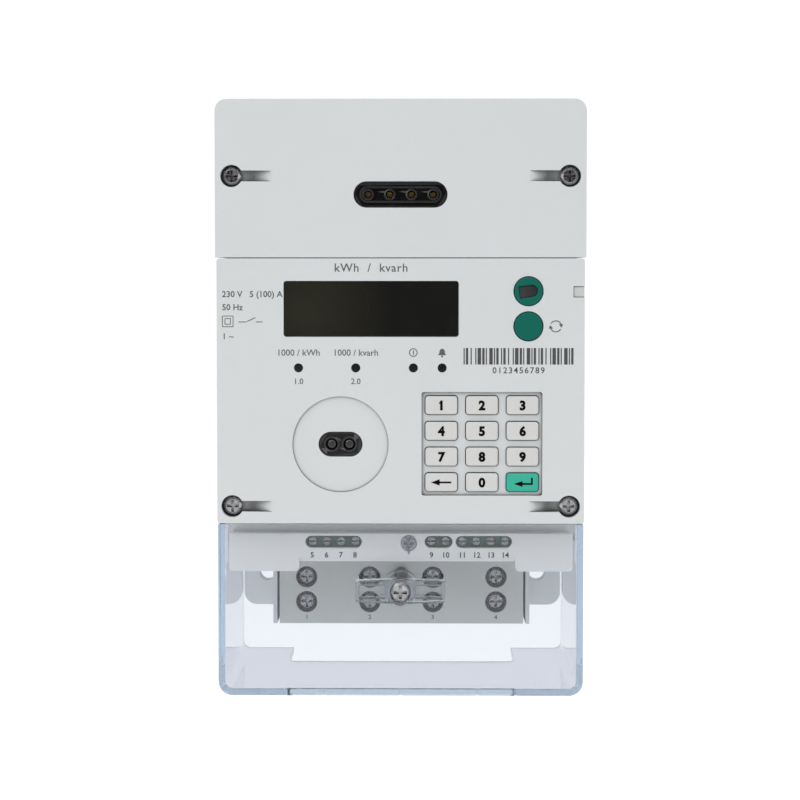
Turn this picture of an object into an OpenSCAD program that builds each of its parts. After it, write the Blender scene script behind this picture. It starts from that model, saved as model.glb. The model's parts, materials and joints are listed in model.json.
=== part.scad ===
// Wall-mounted single-phase prepaid electricity meter with a keypad.
// The wall is the plane y = 0 and the front faces -Y, so "out" in this file is a distance off the wall.
// The origin is the centre of the meter's height and width, on the wall.

/* [Case] */
// Width of the case
case_w = 130; // [129:0.5:132]
// Height from the top of the case to the bottom of the terminal cover
meter_h = 210; // [208:0.5:214]
// Depth from the wall to the front face
case_d = 72; // [71:0.5:76]
// Thickness of the moulded walls
wall = 2.2; // [2:0.1:2.4]
// Depth of the back half of the case
base_d = 36; // [35:0.5:37]
// Height of the module cover
module_h = 55.7; // [54.5:0.1:57]
// Height of the front cover
front_h = 93.2; // [92.6:0.1:94.4]
// Radius of the case's top corners
corner_r = 4.2; // [3:0.1:6]
// Gap between neighbouring covers
seam = 0.3; // [0.2:0.05:0.4]

/* [Front panel] */
// Width of the display window
window_w = 61; // [58:0.5:62]
// Height of the display window
window_h = 19.2; // [17:0.2:20]
// Radius of the recess that a reading head sits in
probe_r = 16.9; // [16:0.1:17.2]
// Width of a key
key_w = 11.2; // [10:0.1:11.6]
// Height of a key
key_h = 6.4; // [5.6:0.1:6.8]
// Spacing of the key columns
key_pitch_x = 14.25; // [14:0.05:14.5]
// Spacing of the key rows
key_pitch_z = 9.05; // [8.9:0.05:9.3]
// Gap round a key or button
key_gap = 0.3; // [0.25:0.05:0.4]
// Radius of the round buttons
button_r = 5; // [4.6:0.1:5.2]
// Travel of a key
key_travel = 1; // [0.6:0.1:1]
// Travel of a round button
button_travel = 1.2; // [0.8:0.1:1.2]

/* [Terminals] */
// Spacing of the main terminals
terminal_pitch = 23.3; // [23:0.1:23.6]
// Radius of a main terminal's cable bore
cable_r = 4.5; // [4:0.1:4.6]
// Spacing of the auxiliary terminals
aux_pitch = 5.08; // [5:0.01:5.1]
// Width of the cable cut-out in the terminal cover
cutout_w = 85; // [82:1:90]
// Depth of that cut-out, from the cover's back edge
cutout_d = 23.5; // [22:0.5:26]
// Length of the wing knob
knob_w = 31.2; // [28:0.2:34]

/* [Fixings] */
// Spacing of the two lower fixing holes
fixing_pitch = 105; // [104.5:0.1:105.5]
// Radius of a fixing hole
fixing_r = 3.2; // [2.6:0.1:3.3]
// How far the hanger slides out of the top
hanger_travel = 22; // [15:1:24]
// Radius of the heads of the four case screws
screw_head_r = 3.2; // [2.9:0.1:3.4]

/* [Hidden] */
$fn = 48;

// Overshoot that makes a cut or a join clean
eps = 0.1;

// Colours
case_white = [0.85, 0.87, 0.88];
shelf_white = [0.76, 0.78, 0.80];
block_grey = [0.61, 0.63, 0.64];
clear_blue = [0.78, 0.86, 0.94, 0.45];
button_green = [0.05, 0.42, 0.36];
enter_green = [0.16, 0.73, 0.55];
terminal_green = [0.12, 0.36, 0.24];
board_green = [0.08, 0.33, 0.20];
near_black = [0.06, 0.06, 0.06];
steel = [0.72, 0.73, 0.75];
brass = [0.80, 0.66, 0.36];
copper = [0.78, 0.48, 0.32];

// Levels up the front
top_z = meter_h / 2;
bottom_z = -top_z;
module_z = top_z - module_h;
front_low = module_z - front_h;

// Distances off the wall
front = case_d;
inner = front - wall;
gasket_t = 0.4;
rim = base_d + gasket_t;
ledge = rim + wall;
board_t = 1.6;
panel_board = front - 9;
main_board_out = base_d - 7;

// Posts that carry the boards: a shoulder, and a pin through the board with a little clearance
post_shoulder_r = 2.6;
pin_r = 1.1;
pin_hole_r = 1.3;
pin_tail = 0.6;
main_posts = [for (x = [-46, 46], z = [-4, top_z - 12]) [x, z]];
main_post_r = 3;
main_board_x = 53;
main_board_z = [-9, top_z - 6];

// Case screws
screw_x = case_w / 2 - 5.8;
module_screw_z = top_z - 26.9;
case_screw_z = front_low + 6;
screw_r = 1.95;
screw_fit = 0.1;
screw_head_h = 2.2;
screw_tip = 18;
pilot_depth = 14;
pocket_r = screw_head_r + 0.7;
screw_seat = front - 3.5;
post_r = 4;
boss_r = 4.4;
ramp_depth = 3.4;
ramp_flat = 7.4;
ramp_end = 14.1;
ramp_h = 3.8;
ramp_floor_t = 1.6;
ramp_side_t = 1.2;

// Front panel places, as [across, up]
window_at = [-10.3, module_z - 17.7];
led_x = [-35.8, -15.7, 4.5, 14.6];
led_z = module_z - 38.4;
led_r = 1.5;
lens_recess = 0.1;
lens_lip = 0.7;
probe_at = [-21.1, module_z - 65.3];
probe_depth = 0.6;
port_w = 15.2;
port_h = 8.5;
diode_gap = 6.2;
diode_r = 2;
diode_x = [for (s = [-1, 1]) probe_at[0] + s * diode_gap / 2];
keypad_at = [28.6, module_z - 65.1];
keypad_w = 42.4;
keypad_h = 36.5;
keypad_depth = 1;
keypad_floor_t = 1.8;
keypad_back = front - keypad_depth - keypad_floor_t;
key_flange = [keypad_back - 1.1, keypad_back - 0.2];
key_corner_r = 1;
key_bevel = 0.4;
dome = [6.4, 3.8];
button_x = 44.8;
reset_at = [button_x, module_z - 11.5];
scroll_at = [button_x, module_z - 23.8];
insert_at = [case_w / 2 - 2.5, module_z - 11.7];
insert_size = 3.9;
insert_depth = 1.5;
switch_out = panel_board + 2.2;
switch_w = 6;
switch_cap_r = 1.7;
switch_cap_h = 0.6;
cap_crown = 0.4;
cap_well = 0.7;
cap_stem_r = 1.5;
pointer_w = 6.4;
pointer_h = 4;
board_posts = [[-50, module_z - 7.5], [-50, front_low + 9.5], [51, module_z - 37], [51, front_low + 7]];

// Communication module
contact_port_z = module_z + 22.3;
contact_port_w = 32.9;
contact_port_h = 9.2;
contact_pitch = 7.6;
contact_x = [for (i = [-1.5:1:1.5]) i * contact_pitch];
module_board_out = base_d + 14;
module_board_w = 104;
module_posts = [for (x = [-46, 46], z = [module_z + 9, top_z - 9]) [x, z]];
socket_z = module_z + 12;
socket_w = 26;
socket_h = 7;
socket_wall = 1.4;
socket_fit = 0.8;
header_pins = 8;
header_pitch = 2.54;
header_pin = 0.64;
contact_r = 1.1;
contact_hole_r = 1.4;
contact_ring_r = 2;
port_face = front - 0.9;
port_rim = 0.5;
port_ring_w = 28.7;
port_ring_h = 5.6;
port_ring_t = 0.6;

// Terminal bay
plate_x = case_w / 2 - 3.4;
plate_t = wall + 0.3;
plate_r = 5;
lug_t = wall + 3.8;
lug_w = 14.2;
lug_h = 25;
shelf_out = front - 8;
shelf_t = 2;
plate_low = bottom_z + 19.7;
block_x = 45;
block_top = front_low - 3.8;
block_out = 42;
block_back = 3;
clamp_out = 19;
clamp_w = 13.4;
clamp_d = 13.6;
clamp_screw_r = 2.6;
clamp_fit = 0.2;
clamp_screw_h = 3;
bore_depth = 23;
well_r = 3.95;
rib_x = [block_x + 0.8, block_x + 2.3];
clamp_top = front_low - 9.6;
clamp_low = plate_low + 5;
terminal_x = [for (i = [-1.5:1:1.5]) i * terminal_pitch];
terminal_rows = [plate_low + 17.2, plate_low + 8];
knob_z = plate_low + 18.5;
lug_z = plate_low + lug_h / 2;

// Terminal shelf
shelf_x = plate_x - 0.4;
shelf_side_x = shelf_x - 0.9;
shelf_top = front_low - 4.7;
shelf_low = shelf_top - 10;
shelf_side_low = shelf_low - 3.5;
shelf_step = [-36.3, 40.8];
shelf_back = block_out + 0.6;
slot_z = shelf_top - 3;
slot_h = 4.4;
slot_end = 4.9;
aux_left = -23.9;
aux_middle = 13.5;
aux_right = 29.6;
aux_out = shelf_out - 3;
aux_d = 9.6;
aux_h = 7.6;
aux_screw_z = slot_z - 0.2;
shelf_screw_at = [2.9, shelf_top - 3.4];
shelf_screw_r = 1.6;
shelf_head_r = 2.7;
shelf_boss_r = 3.1;
shelf_rim = 1.1;
shelf_side_t = 1.6;
shelf_lip_h = 1.3;
shelf_lip_depth = 0.6;
riser_out = shelf_out - 5;
riser_t = 1.5;
aux_groups = [[aux_left, 4], [aux_middle, 2], [aux_right, 4]];
aux_well_r = 1.65;

// Terminal cover
cover_w = case_w - 1.4;
cover_top = front_low - seam;
cover_back = 3;
cover_r = 5;
cutout_r = 3;
strip_w = 81;
strip_h = 2.4;
groove = 0.7;

// Wing knob
knob_root = front + 0.4;
knob_tip = front + 8.6;
hub_r = 4.6;
cover_shank_r = 2;
shank_fit = 0.4;
cover_boss_h = 0.8;
knob_root_h = 8.2;
knob_end_h = 7;
knob_wall = 1.2;

// Hanger
hanger_w = 19.4;
hanger_t = 1.7;
hanger_out = 1;
hanger_low = top_z - 2 * hanger_travel;
hanger_top = top_z - 1.5;
hanger_eye_z = hanger_top - 8;
keyhole_w = 3.2;
keyhole_h = 5.5;
slot_lip = 1.5;
slot_floor = 0.8;
slot_fit = 0.3;
pocket_depth = 0.8;

// Parts inside the case
bar_out = [22, 24];
bar_w = 10;
bar_fit = 0.5;
relay_x = [-42, -4];
relay_z = [-35, -13];
link_z = [-32, -24];
capacitor_at = [for (x = [-36, -22], z = [62, 76]) [x, z]];
capacitor_r = 5;
capacitor_h = 20;
battery_r = 7.2;
battery_l = 25;
battery_at = [8, 18];
core_x = [10, 42];
core_z = [44, 72];
core_out = 11;
winding_inset = 4;
winding_over = 6;
can_at = [-28, top_z - 19];
can_w = 24;
can_l = 18;
can_h = 3;

// Extrudes an outline drawn across and up, between two distances off the wall
module slab(from, to)
    translate([0, -from, 0]) rotate([90, 0, 0]) linear_extrude(height = to - from) children();

// A round bar or bore that points off the wall
module bar(x, z, r, from, to)
    translate([x, -from, z]) rotate([90, 0, 0]) cylinder(r = r, h = to - from);

// A round bar that narrows from r1 to r2
module taper(x, z, r1, r2, from, to)
    translate([x, -from, z]) rotate([90, 0, 0]) cylinder(r1 = r1, r2 = r2, h = to - from);

// A box given by its ranges of x, of z and of distance off the wall
module block(x, z, out)
    translate([x[0], -out[1], z[0]]) cube([x[1] - x[0], out[1] - out[0], z[1] - z[0]]);

module both_sides() {
    children();
    mirror([1, 0, 0]) children();
}

module pill(w, h) {
    square([w - h, h], center = true);
    for (s = [-1, 1])
        translate([s * (w - h) / 2, 0]) circle(d = h);
}

module round_rect(w, h, r) {
    square([w - 2 * r, h], center = true);
    square([w, h - 2 * r], center = true);
    for (sx = [-1, 1], sz = [-1, 1])
        translate([sx * (w / 2 - r), sz * (h / 2 - r)]) circle(r = r);
}

// A rectangle with round corners at its upper end, or at its lower end when flip is true
module arch(w, low, high, r, flip = false) {
    straight_low = flip ? low + r : low;
    translate([-w / 2, straight_low]) square([w, high - low - r]);
    translate([-w / 2 + r, low]) square([w - 2 * r, high - low]);
    for (s = [-1, 1])
        translate([s * (w / 2 - r), flip ? low + r : high - r]) circle(r = r);
}

// Outline of the case, drawn in from its edge by inset
module case_outline(inset, low, high)
    arch(case_w - 2 * inset, low + inset, high - inset, max(corner_r - inset, 1));

module cover_outline(inset)
    arch(cover_w - 2 * inset, bottom_z + inset, cover_top + eps, cover_r - inset, flip = true);

// Moves a screw pocket drawn with +X towards the middle onto both sides of the case
module at_screws(z)
    both_sides() translate([-screw_x, 0, z]) children();

// The boss round a case screw and the floor of its seal-wire ramp
module screw_boss(rear) {
    bar(0, 0, boss_r, rear, inner + eps);
    slab(front - ramp_depth - ramp_floor_t, inner + eps)
        translate([0, -ramp_h / 2 - ramp_side_t])
            square([ramp_end + ramp_side_t, ramp_h + 2 * ramp_side_t]);
}

// The head pocket, shank hole and seal-wire ramp of a case screw
module screw_pocket(rear) {
    run_on = (ramp_end - ramp_flat) / ramp_depth;
    bar(0, 0, pocket_r, screw_seat, front + 1);
    bar(0, 0, screw_r + 2 * screw_fit, rear - 1, screw_seat + eps);
    translate([0, 0, -ramp_h / 2])
        linear_extrude(height = ramp_h)
            polygon([
                [0, ramp_depth - front],
                [ramp_flat, ramp_depth - front],
                [ramp_end + run_on, -front - 1],
                [0, -front - 1]
            ]);
}

// A screw along the depth with a crowned cross-recess head
module cross_screw(head_r, head_h, shank_r, tip, seat) {
    crown = head_h * 0.3;
    top = seat + head_h;
    difference() {
        union() {
            bar(0, 0, shank_r, tip, seat + eps);
            bar(0, 0, head_r, seat, top - crown);
            taper(0, 0, head_r, head_r * 0.72, top - crown, top);
        }
        slab(top - head_h * 0.6, top + 1)
            for (turn = [0, 90])
                rotate(turn) square([head_r * 1.3, head_r * 0.3], center = true);
    }
}

module base_case()
    color(case_white) difference() {
        union() {
            difference() {
                slab(0, base_d) case_outline(0, front_low, top_z);
                slab(wall, base_d + 1) case_outline(wall, front_low, top_z);
            }
            for (s = [-1, 1], z = [module_screw_z, case_screw_z])
                bar(s * screw_x, z, post_r, wall - eps, base_d);
            for (p = main_posts) {
                bar(p[0], p[1], main_post_r, wall - eps, main_board_out);
                bar(p[0], p[1], pin_r, main_board_out - eps, main_board_out + board_t + pin_tail);
            }
            hanger_pad();
            bay_plate();
            both_sides() block(rib_x, [plate_low, cover_top], [wall - eps, block_out + seam]);
        }
        for (s = [-1, 1]) {
            bar(s * fixing_pitch / 2, lug_z, fixing_r, -1, wall + 6);
            for (z = [module_screw_z, case_screw_z])
                bar(s * screw_x, z, screw_r + screw_fit, pilot_depth, base_d + 1);
        }
        for (x = terminal_x)
            block([x - bar_w / 2 - bar_fit, x + bar_w / 2 + bar_fit], [front_low - 1, front_low + wall + 1],
                  [bar_out[0] - bar_fit, bar_out[1] + bar_fit]);
        hanger_slot();
        back_pockets();
    }

// Back plate of the terminal bay with its two raised fixing lugs
module bay_plate() {
    slab(0, plate_t) plate_outline();
    slab(0, lug_t) intersection() {
        plate_outline();
        both_sides() translate([plate_x - lug_w, plate_low]) square([lug_w + 1, lug_h]);
    }
}

module plate_outline()
    arch(2 * plate_x, plate_low, front_low + 1, plate_r, flip = true);

// Thicker wall behind the hanger's slot
module hanger_pad() {
    half = hanger_w / 2 + 3.3;
    block([-half, half], [hanger_low - 4, top_z - wall / 2], [wall - eps, wall + 2.8]);
}

// T-shaped slot that holds the hanger and is open at the top of the case
module hanger_slot() {
    half = hanger_w / 2 + slot_fit;
    z = [hanger_low - 1, top_z + 1];
    block([-half, half], z, [slot_floor, hanger_out + hanger_t + 0.2]);
    block([-half + slot_lip, half - slot_lip], z, [-1, hanger_out]);
}

// Shallow pockets that leave ribs across the back
module back_pockets()
    both_sides() slab(-1, pocket_depth) {
        for (column = [0:1], row = [0:2])
            translate([24 + column * 22.5, module_z - 28 + row * 31]) round_rect(20, 28.5, 3);
        for (column = [0:1])
            translate([18 + column * 26.5, front_low + 12.4]) round_rect(24, 50, 3);
    }

module front_cover()
    color(case_white) difference() {
        union() {
            difference() {
                slab(rim, front) front_outline(0);
                slab(rim - 1, inner) front_outline(wall);
            }
            slab(rim, ledge) difference() {
                case_outline(0, front_low, top_z);
                translate([-case_w / 2 + wall, front_low + wall])
                    square([case_w - 2 * wall, front_h - 2 * wall]);
            }
            at_screws(case_screw_z) screw_boss(rim);
            slab(keypad_back, inner + eps)
                translate(keypad_at) square([keypad_w + 3, keypad_h + 3], center = true);
            for (p = board_posts) {
                bar(p[0], p[1], post_shoulder_r, panel_board, inner + eps);
                bar(p[0], p[1], pin_r, panel_board - board_t - pin_tail, panel_board + eps);
            }
        }
        at_screws(case_screw_z) screw_pocket(rim);
        at_screws(module_screw_z) bar(0, 0, screw_r + 2 * screw_fit, rim - 1, ledge + 1);
        slab(rim - 1, ledge + 1)
            translate([0, socket_z])
                square([socket_w + 2 * socket_fit, socket_h + 2 * socket_fit], center = true);
        slab(inner - 1, front + 1) translate(window_at) round_rect(window_w + 0.4, window_h + 0.4, 1);
        for (x = led_x)
            bar(x, led_z, led_r + eps, inner - 1, front + 1);
        bar(probe_at[0], probe_at[1], probe_r, front - probe_depth, front + 1);
        slab(inner - 1, front) translate(probe_at) pill(port_w + 0.3, port_h + 0.3);
        slab(front - keypad_depth, front + 1) translate(keypad_at) round_rect(keypad_w, keypad_h, 0.8);
        slab(inner - 2, front) for (column = [-1:1], row = [0:3])
            translate(key_at(column, row))
                round_rect(key_w + 2 * key_gap, key_h + 2 * key_gap, key_corner_r + key_gap);
        for (p = [reset_at, scroll_at])
            bar(p[0], p[1], button_r + key_gap, inner - 1, front + 1);
        block([insert_at[0] - insert_size / 2, case_w], insert_z(0), [front - insert_depth, front + 1]);
    }

// Outline of the front cover's raised part
module front_outline(inset)
    translate([0, (front_low + module_z) / 2])
        round_rect(case_w - 1 - 2 * inset, front_h - 2 * inset, max(1 - inset, 0.5));

function insert_z(inset) =
    [insert_at[1] - insert_size / 2 + inset, insert_at[1] + insert_size / 2 - inset];

// Middle of a key, counted from the middle column and the top row
function key_at(column, row) =
    [keypad_at[0] + column * key_pitch_x, keypad_at[1] + (1.5 - row) * key_pitch_z];

module case_gasket()
    color(near_black) slab(base_d, rim) difference() {
        case_outline(0.5, front_low, top_z);
        case_outline(1.9, front_low, top_z);
    }

module module_cover()
    color(case_white) difference() {
        union() {
            difference() {
                slab(ledge + seam, front) case_outline(0, module_z + seam, top_z);
                slab(ledge, inner) case_outline(wall, module_z + seam, top_z);
            }
            at_screws(module_screw_z) screw_boss(ledge + seam);
            for (p = module_posts) {
                bar(p[0], p[1], post_shoulder_r, module_board_out + board_t, inner + eps);
                bar(p[0], p[1], pin_r, module_board_out - pin_tail, module_board_out + board_t + eps);
            }
        }
        at_screws(module_screw_z) screw_pocket(ledge + seam);
        slab(inner - 1, front + 1) translate([0, contact_port_z]) pill(contact_port_w, contact_port_h);
    }

// Clear box, open at the back and the top, that closes the terminal bay
module terminal_cover()
    color(clear_blue) difference() {
        union() {
            difference() {
                slab(cover_back, front) cover_outline(0);
                slab(cover_back - 1, inner) cover_outline(wall);
            }
            bar(0, knob_z, hub_r + 2, front - eps, front + cover_boss_h);
        }
        block([-case_w, case_w], [cover_top, cover_top + 1], [0, front + 1]);
        slab(front, front + 2) translate([0, knob_z]) circle(r = hub_r + 1.4);
        bar(0, knob_z, cover_shank_r + shank_fit, inner - 1, front + 1);
        cable_cutout();
        cover_grooves();
    }

// Opening at the back of the cover's floor, with round inner corners
module cable_cutout()
    translate([0, -cover_back, bottom_z - 1]) linear_extrude(height = wall + 2)
        translate([0, cutout_r - cutout_d / 2]) round_rect(cutout_w, cutout_d + 2 * cutout_r, cutout_r);

// Grooves that mark the break-out strip along the lower front edge
module cover_grooves() {
    out = [front - groove, front + 1];
    strip_top = bottom_z + strip_h;
    block([-strip_w / 2, strip_w / 2], [strip_top, strip_top + groove], out);
    for (x = [-strip_w / 2, -strip_w / 3, 0, strip_w / 3, strip_w / 2])
        block([x - groove / 2, x + groove / 2], [bottom_z - 1, strip_top + eps], out);
}

// Panel over the auxiliary terminals, with a rim behind its face and a riser up to the front cover
module terminal_shelf()
    color(shelf_white) difference() {
        across = [-shelf_side_x, shelf_side_x];
        behind = [shelf_back, shelf_out - eps];
        at = shelf_screw_at;
        union() {
            slab(shelf_out - shelf_t, shelf_out) shelf_face();
            block(across, [shelf_top - shelf_rim, shelf_top], behind);
            block(across, [shelf_top - eps, cover_top - seam], [riser_out - riser_t, riser_out]);
            both_sides()
                block([shelf_side_x - shelf_side_t, shelf_side_x], [shelf_side_low, shelf_top], behind);
            bar(at[0], at[1], shelf_boss_r, block_out + seam, shelf_out - shelf_t + eps);
        }
        for (group = aux_groups)
            slab(shelf_out - shelf_t - 1, shelf_out + 1) translate([group[0], slot_z])
                pill((group[1] - 1) * aux_pitch + slot_end, slot_h);
        bar(at[0], at[1], shelf_head_r + 0.2, shelf_out - 1, shelf_out + 1);
        bar(at[0], at[1], shelf_screw_r + 0.15, block_out, shelf_out);
        block([at[0] - 0.4, at[0] + 0.4], [at[1] - 4, at[1]], [shelf_out - 0.8, shelf_out + 1]);
        block(shelf_step, [shelf_low - 1, shelf_low + shelf_lip_h],
              [shelf_out - shelf_lip_depth, shelf_out + 1]);
    }

// Front of the shelf: a shallow middle between two deeper ends with round inner corners
module shelf_face() {
    r = 1.5;
    translate([-shelf_x, shelf_low]) square([2 * shelf_x, shelf_top - shelf_low]);
    for (end = [[-shelf_x, shelf_step[0]], [shelf_step[1], shelf_x]]) {
        low = shelf_side_low;
        translate([end[0], low + r]) square([end[1] - end[0], shelf_low - low]);
        translate([end[0] + r, low]) square([end[1] - end[0] - 2 * r, 2 * r]);
        for (x = [end[0] + r, end[1] - r])
            translate([x, low + r]) circle(r = r);
    }
}

module case_screws()
    color(steel) at_screws(case_screw_z)
        cross_screw(screw_head_r, screw_head_h, screw_r, screw_tip, screw_seat);

module module_screws()
    color(steel) at_screws(module_screw_z)
        cross_screw(screw_head_r, screw_head_h, screw_r, screw_tip, screw_seat);

module shelf_screw()
    color(steel) translate([shelf_screw_at[0], 0, shelf_screw_at[1]])
        cross_screw(shelf_head_r, 1.6, shelf_screw_r, block_out - 8, shelf_out - 1);

// Clear wing knob: a hub with two hollow tapering wings
module cover_knob()
    color(clear_blue) translate([0, 0, knob_z]) difference() {
        tip = knob_w / 2;
        end = knob_end_h / 2;
        root = knob_root_h / 2;
        union() {
            bar(0, 0, hub_r, knob_root, knob_tip);
            bar(0, 0, hub_r + 1, knob_root, knob_root + knob_wall);
            slab(knob_root + 1.6, knob_tip - 0.6)
                polygon([[-tip, -end], [0, -root], [tip, -end], [tip, end], [0, root], [-tip, end]]);
        }
        both_sides() block([hub_r + 0.6, tip - knob_wall], [knob_wall - end, end - knob_wall],
                           [knob_root + 3.2, knob_tip]);
        bar(0, 0, hub_r - 0.9, knob_tip - 3, knob_tip + 1);
        bar(0, 0, cover_shank_r + 0.1, knob_root - 1, knob_tip);
    }

module cover_screw()
    color(steel) translate([0, 0, knob_z])
        cross_screw(hub_r - 1, 2.4, cover_shank_r, block_out - 8, knob_tip - 3);

module side_insert()
    color(block_grey)
        block([insert_at[0] - insert_size / 2 + eps, case_w / 2 - 0.6], insert_z(eps),
              [front - insert_depth, front - 0.3]);

module hanger()
    color(steel) slab(hanger_out, hanger_out + hanger_t) difference() {
        translate([0, (hanger_low + hanger_top) / 2])
            round_rect(hanger_w, hanger_top - hanger_low, 3);
        translate([0, hanger_eye_z]) circle(r = fixing_r);
        translate([-keyhole_w / 2, hanger_eye_z]) square([keyhole_w, keyhole_h]);
    }

module terminal_block()
    color(block_grey) difference() {
        half_w = clamp_w / 2 + clamp_fit;
        half_d = clamp_d / 2 + clamp_fit;
        block([-block_x, block_x], [plate_low, block_top], [block_back, block_out]);
        for (x = terminal_x) {
            block([x - half_w, x + half_w], [clamp_low, block_top + 1],
                  [clamp_out - half_d, clamp_out + half_d]);
            translate([x, -clamp_out, plate_low - 1]) cylinder(r = cable_r + 0.5, h = 7);
            for (z = terminal_rows)
                bar(x, z, well_r, clamp_out, block_out + 1);
        }
        bar(0, knob_z, cover_shank_r + shank_fit, block_out - 10, block_out + 1);
        bar(shelf_screw_at[0], shelf_screw_at[1], shelf_screw_r + 0.1, block_out - 10, block_out + 1);
    }

// The bores are turned about their own axes so that no two of their facet edges meet
module terminal_clamps()
    color(brass) for (x = terminal_x) difference() {
        difference() {
            block([x - clamp_w / 2, x + clamp_w / 2], [clamp_low, clamp_top],
                  [clamp_out - clamp_d / 2, clamp_out + clamp_d / 2]);
            for (z = terminal_rows)
                translate([x, -clamp_out, z]) rotate([90, 0, 0]) rotate(45)
                    cylinder(r = clamp_screw_r, h = clamp_d);
        }
        translate([x, -clamp_out, clamp_low - 1]) rotate(90) cylinder(r = cable_r, h = bore_depth + 1);
    }

module terminal_screws()
    color(steel) for (x = terminal_x, z = terminal_rows)
        translate([x, 0, z])
            cross_screw(well_r - 0.65, clamp_screw_h, clamp_screw_r - 0.1, clamp_out + cable_r + 0.3,
                        block_out - clamp_screw_h - 1.4);

// A green terminal strip with screw wells in front and wire entries below
module aux_terminals(x, ways)
    color(terminal_green) difference() {
        w = ways * aux_pitch - 0.2;
        block([x - w / 2, x + w / 2], [slot_z - aux_h + 2.2, slot_z + 1.7], [aux_out - aux_d, aux_out]);
        for (way = way_x(x, ways)) {
            bar(way, aux_screw_z, aux_well_r, aux_out - 3, aux_out + 1);
            block([way - 1.3, way + 1.3], [slot_z - aux_h, slot_z - 2.6], [aux_out - 7.4, aux_out - 4.4]);
        }
    }

// Middles of a strip's ways
function way_x(x, ways) = [for (i = [0:ways - 1]) x + (i - (ways - 1) / 2) * aux_pitch];

module aux_screws()
    color(steel)
        for (group = aux_groups, x = way_x(group[0], group[1]))
            translate([x, 0, aux_screw_z]) difference() {
                bar(0, 0, aux_well_r - 0.15, aux_out - 2.8, aux_out - 0.3);
                slab(aux_out - 1, aux_out + 1) square([4, 0.5], center = true);
            }

module aux_board()
    color(board_green) difference() {
        block([aux_left - 12, aux_right + 12], [shelf_low + 1.6, shelf_top - 1.4],
              [aux_out - aux_d - board_t, aux_out - aux_d]);
        bar(shelf_screw_at[0], shelf_screw_at[1], shelf_boss_r + 0.3, block_out, shelf_out);
    }

module display_window()
    color(near_black) {
        slab(inner - 1.4, inner) translate(window_at) round_rect(window_w + 4, window_h + 3.6, 1);
        slab(inner - eps, front - lens_recess) translate(window_at) round_rect(window_w, window_h, 0.8);
    }

module display_panel()
    color([0.20, 0.22, 0.19]) slab(panel_board + 2.4, inner - 1.6)
        translate(window_at) square([window_w + 1, window_h + 1.6], center = true);

module display_holder()
    color([0.80, 0.80, 0.78]) difference() {
        slab(panel_board, inner - 2) translate(window_at) round_rect(window_w + 5, window_h + 4.6, 1);
        slab(panel_board + 2.4, inner) translate(window_at)
            square([window_w + 1.4, window_h + 2], center = true);
    }

module led_lenses()
    color(near_black) for (x = led_x) {
        bar(x, led_z, led_r + lens_lip, inner - 1.2, inner);
        bar(x, led_z, led_r, inner - eps, front - lens_recess);
    }

module status_leds()
    color([0.75, 0.20, 0.16]) for (x = led_x) {
        bar(x, led_z, 1.5, panel_board, panel_board + 1);
        bar(x, led_z, 1.2, panel_board + 1 - eps, panel_board + 3.2);
        taper(x, led_z, 1.2, 0.7, panel_board + 3.2, panel_board + 3.8);
    }

module optical_port()
    color(near_black) difference() {
        face = front - probe_depth - 0.6;
        union() {
            slab(inner - 1.6, inner) translate(probe_at) pill(port_w + 3.8, port_h + 3.5);
            slab(inner - eps, face) translate(probe_at) pill(port_w, port_h);
            for (x = diode_x)
                bar(x, probe_at[1], diode_r + lens_lip, inner, face + 0.4);
        }
        for (x = diode_x)
            bar(x, probe_at[1], diode_r + 0.1, inner - 2, front);
    }

module optical_diodes()
    color([0.22, 0.12, 0.24]) for (x = diode_x) {
        bar(x, probe_at[1], diode_r, panel_board, inner + 0.6);
        taper(x, probe_at[1], diode_r, diode_r / 2, inner + 0.6, inner + 1.3);
    }

module probe_plate()
    color(steel) slab(inner - 1.4, inner) translate(probe_at) difference() {
        circle(r = probe_r - 2);
        circle(r = probe_r - 6.4);
    }

// A key with a bevelled top, and a flange behind the keypad's floor
module key(column, row, shade) {
    at = key_at(column, row);
    shoulder = front - 0.3;
    color(shade) {
        slab(key_flange[0], key_flange[1]) translate(at) round_rect(key_w + 1.6, key_h + 1.6, key_corner_r);
        slab(key_flange[1] - eps, shoulder) translate(at) round_rect(key_w, key_h, key_corner_r);
        hull() {
            slab(shoulder - eps, shoulder) translate(at) round_rect(key_w, key_h, key_corner_r, $fn = 32);
            slab(front, front + eps) translate(at)
                round_rect(key_w - 2 * key_bevel, key_h - 2 * key_bevel, key_corner_r - 0.2, $fn = 32);
        }
    }
}

module keypad_mat()
    color([0.55, 0.56, 0.57]) {
        slab(panel_board, panel_board + 1) translate(keypad_at) round_rect(keypad_w - 1, keypad_h - 1, 1);
        slab(panel_board + 1 - eps, key_flange[0] - key_travel - 0.3)
            for (column = [-1:1], row = [0:3])
                translate(key_at(column, row)) round_rect(dome[0], dome[1], 1);
    }

module scroll_button()
    color(button_green) translate([scroll_at[0], 0, scroll_at[1]]) {
        plunger();
        bar(0, 0, button_r, inner - 0.5, front);
        taper(0, 0, button_r, button_r - cap_crown, front, front + cap_crown);
    }

// Flange and stem under a round button; the flange stops behind the front wall
module plunger() {
    flange = inner - 0.4;
    bar(0, 0, button_r + 1.1, flange - 1.2, flange);
    bar(0, 0, 1.8, switch_out + button_travel + 0.2, flange - 1.2 + eps);
}

module reset_plunger()
    color([0.82, 0.83, 0.82]) translate([reset_at[0], 0, reset_at[1]]) {
        plunger();
        bar(0, 0, cap_stem_r, inner - 0.5, front - cap_well - 0.5);
    }

// Cap that turns on the plunger, with a D-shaped well across its face
module reset_button()
    color(button_green) translate([reset_at[0], 0, reset_at[1]]) difference() {
        union() {
            bar(0, 0, button_r, inner - 0.1, front);
            taper(0, 0, button_r, button_r - cap_crown, front, front + cap_crown);
        }
        bar(0, 0, cap_stem_r + 0.1, inner - 1, front - cap_well - 0.4);
        slab(front - cap_well, front + 1) d_shape(pointer_w + 0.2, pointer_h + 0.2);
    }

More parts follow.
